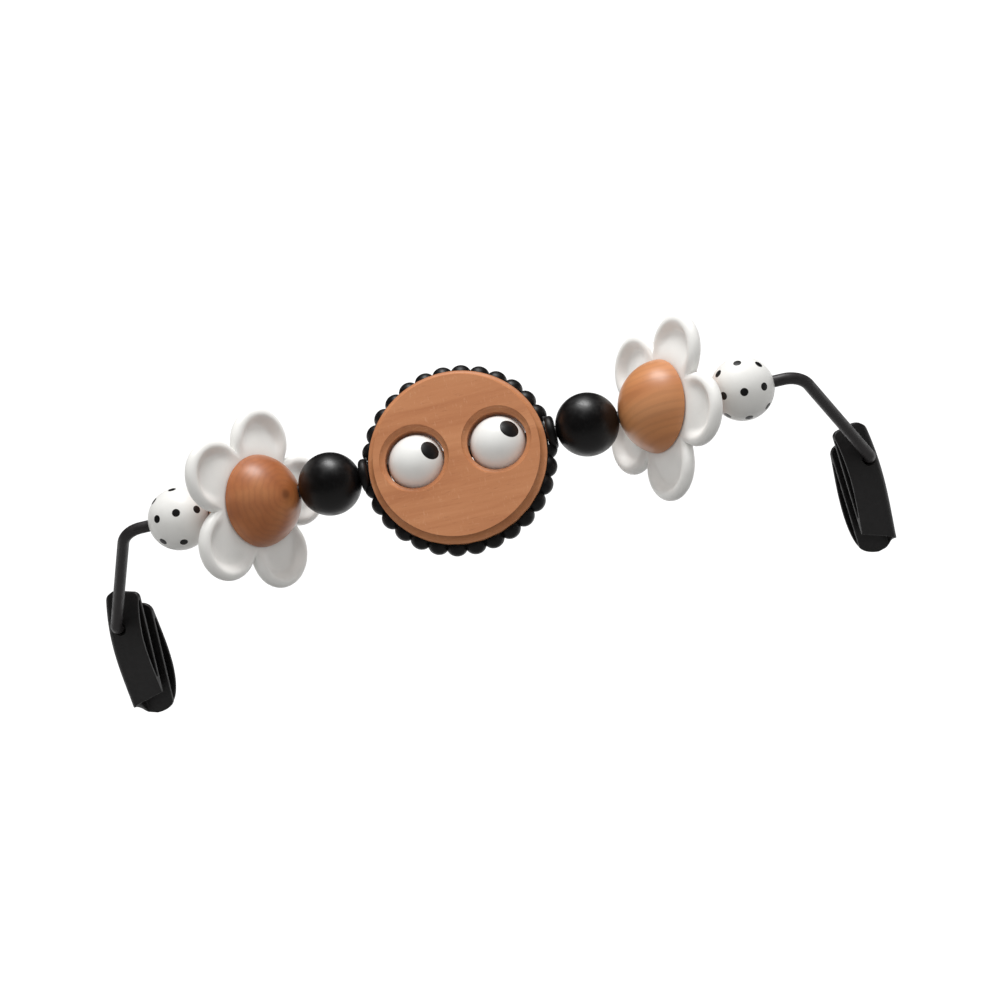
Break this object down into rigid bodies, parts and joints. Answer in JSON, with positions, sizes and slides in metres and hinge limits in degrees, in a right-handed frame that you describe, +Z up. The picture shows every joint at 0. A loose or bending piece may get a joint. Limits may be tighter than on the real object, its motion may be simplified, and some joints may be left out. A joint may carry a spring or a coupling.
{
  "type": "bouncer toy bar",
  "caption": "Bent rod with a slotted clip on each end, carrying turning beads, petalled wooden flowers and a round face disc with rolling eyes.",
  "frame": {"origin": "midway between the wire slots of the two clips", "axes": "+X along the straight bar to the viewer's right, -Y towards the viewer, +Z up"},
  "size_m": [0.4228, 0.1011, 0.1671],
  "materials": {
    "black_coat": "satin black powder coat on steel wire",
    "black_plastic": "matt to satin black moulded plastic",
    "black_paint": "satin-gloss black paint on a turned wooden bead",
    "white_paint": "satin white paint on a turned wooden ball, black painted spots",
    "white_plastic": "satin off-white moulded plastic",
    "stained_wood": "red-brown stained wood with a thin satin lacquer",
    "maple_wood": "amber lacquered turned wood",
    "beech_wood": "plain unstained wood, hidden inside"
  },
  "bodies": {
    "frame": {"rod": "black_coat", "clip_left": "black_plastic", "clip_right": "black_plastic"},
    "disc": {"disc_front": "stained_wood", "disc_back": "stained_wood", "disc_ring": "black_plastic", "disc_dowel_top": "beech_wood", "disc_dowel_left": "beech_wood", "disc_dowel_right": "beech_wood"},
    "eye_left": {"eye_left": "white_paint"},
    "collar_left": {"collar_left": "black_plastic"},
    "black_bead_left": {"black_bead_left": "black_paint"},
    "flower_left": {"flower_front_left": "maple_wood", "flower_back_left": "maple_wood", "flower_hub_left": "beech_wood"},
    "petals_left": {"petals_left": "white_plastic"},
    "dotted_ball_left": {"dotted_ball_left": "white_paint"},
    "eye_right": {"eye_right": "white_paint"},
    "collar_right": {"collar_right": "black_plastic"},
    "black_bead_right": {"black_bead_right": "black_paint"},
    "flower_right": {"flower_front_right": "maple_wood", "flower_back_right": "maple_wood", "flower_hub_right": "beech_wood"},
    "petals_right": {"petals_right": "white_plastic"},
    "dotted_ball_right": {"dotted_ball_right": "white_paint"}
  },
  "joints": [
    {"name": "disc_turn", "type": "hinge", "parent": "frame", "child": "disc", "pos_m": [0, -0.045, 0.0814], "axis": [1, 0, 0], "continuous": true},
    {"name": "eye_left_turn", "type": "hinge", "parent": "frame", "child": "eye_left", "pos_m": [-0.021, -0.045, 0.0814], "axis": [1, 0, 0], "continuous": true},
    {"name": "collar_left_turn", "type": "hinge", "parent": "frame", "child": "collar_left", "pos_m": [-0.04791, -0.045, 0.0814], "axis": [1, 0, 0], "continuous": true},
    {"name": "black_bead_left_turn", "type": "hinge", "parent": "frame", "child": "black_bead_left", "pos_m": [-0.06626, -0.045, 0.0814], "axis": [1, 0, 0], "continuous": true},
    {"name": "flower_left_turn", "type": "hinge", "parent": "frame", "child": "flower_left", "pos_m": [-0.1056, -0.045, 0.0814], "axis": [1, 0, 0], "continuous": true},
    {"name": "petals_left_turn", "type": "hinge", "parent": "flower_left", "child": "petals_left", "pos_m": [-0.1056, -0.045, 0.0814], "axis": [0.7955, -0.5945, 0.1177], "continuous": true},
    {"name": "dotted_ball_left_turn", "type": "hinge", "parent": "frame", "child": "dotted_ball_left", "pos_m": [-0.14494, -0.045, 0.0814], "axis": [1, 0, 0], "continuous": true},
    {"name": "eye_right_turn", "type": "hinge", "parent": "frame", "child": "eye_right", "pos_m": [0.021, -0.045, 0.0814], "axis": [1, 0, 0], "continuous": true},
    {"name": "collar_right_turn", "type": "hinge", "parent": "frame", "child": "collar_right", "pos_m": [0.04791, -0.045, 0.0814], "axis": [1, 0, 0], "continuous": true},
    {"name": "black_bead_right_turn", "type": "hinge", "parent": "frame", "child": "black_bead_right", "pos_m": [0.06626, -0.045, 0.0814], "axis": [1, 0, 0], "continuous": true},
    {"name": "flower_right_turn", "type": "hinge", "parent": "frame", "child": "flower_right", "pos_m": [0.1056, -0.045, 0.0814], "axis": [1, 0, 0], "continuous": true},
    {"name": "petals_right_turn", "type": "hinge", "parent": "flower_right", "child": "petals_right", "pos_m": [0.1056, -0.045, 0.0814], "axis": [-0.7955, -0.4696, 0.383], "continuous": true},
    {"name": "dotted_ball_right_turn", "type": "hinge", "parent": "frame", "child": "dotted_ball_right", "pos_m": [0.14494, -0.045, 0.0814], "axis": [1, 0, 0], "continuous": true}
  ]
}
